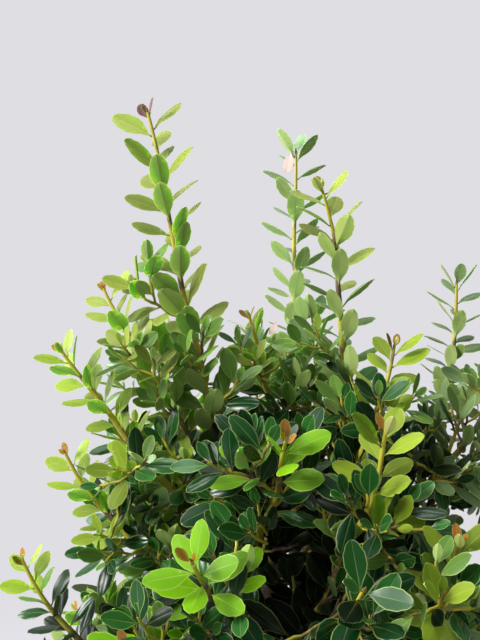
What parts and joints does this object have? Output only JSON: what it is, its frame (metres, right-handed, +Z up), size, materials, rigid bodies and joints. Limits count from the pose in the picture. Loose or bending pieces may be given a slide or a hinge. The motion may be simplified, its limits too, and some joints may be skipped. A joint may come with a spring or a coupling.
{
  "type": "potted small-leaved pyramidal holly",
  "caption": "Young small-leaved evergreen holly with an upright, dense crown of leafy shoots on a short trunk, growing in a plain tapered pot.",
  "frame": {"origin": "centre of the pot's flat underside", "axes": "+Z up along the pot's axis, -Y to the front of the picture, +X to its right"},
  "size_m": [0.369, 0.379, 0.6425],
  "materials": {
    "pot": "matt",
    "compost": "rough, moist",
    "bark": "matt bark",
    "foliage": "semi-gloss leaf"
  },
  "bodies": {
    "root": {"bough_arm_left": "bark", "bough_arm_low_left": "bark", "bough_arm_right": "bark", "bough_arm_right_high": "bark", "bough_back_left": "bark", "bough_back_left_high": "bark", "bough_back_mid": "bark", "bough_back_right": "bark", "bough_centre_front": "bark", "bough_crown_centre": "bark", "bough_front_left": "bark", "bough_front_low": "bark", "bough_front_right": "bark", "bough_front_rosette": "bark", "bough_right_centre": "bark", "bough_shoulder_left": "bark", "bough_skirt_back_left": "bark", "bough_skirt_back_right": "bark", "bough_skirt_far_left": "bark", "bough_skirt_front": "bark", "bough_skirt_front_right": "bark", "bough_skirt_left": "bark", "bough_skirt_right": "bark", "bough_spire_back": "bark", "bough_spire_centre": "bark", "bough_spire_left": "bark", "bough_spire_right": "bark", "compost": "compost", "foliage_arm_left": "foliage", "foliage_arm_low_left": "foliage", "foliage_arm_right": "foliage", "foliage_arm_right_high": "foliage", "foliage_back_left": "foliage", "foliage_back_left_high": "foliage", "foliage_back_mid": "foliage", "foliage_back_right": "foliage", "foliage_centre_front": "foliage", "foliage_crown_centre": "foliage", "foliage_front_left": "foliage", "foliage_front_low": "foliage", "foliage_front_right": "foliage", "foliage_front_rosette": "foliage", "foliage_right_centre": "foliage", "foliage_shoulder_left": "foliage", "foliage_skirt_back_left": "foliage", "foliage_skirt_back_right": "foliage", "foliage_skirt_far_left": "foliage", "foliage_skirt_front": "foliage", "foliage_skirt_front_right": "foliage", "foliage_skirt_left": "foliage", "foliage_skirt_right": "foliage", "foliage_spire_back": "foliage", "foliage_spire_centre": "foliage", "foliage_spire_left": "foliage", "foliage_spire_right": "foliage", "pot": "pot", "trunk": "bark"}
  },
  "joints": []
}
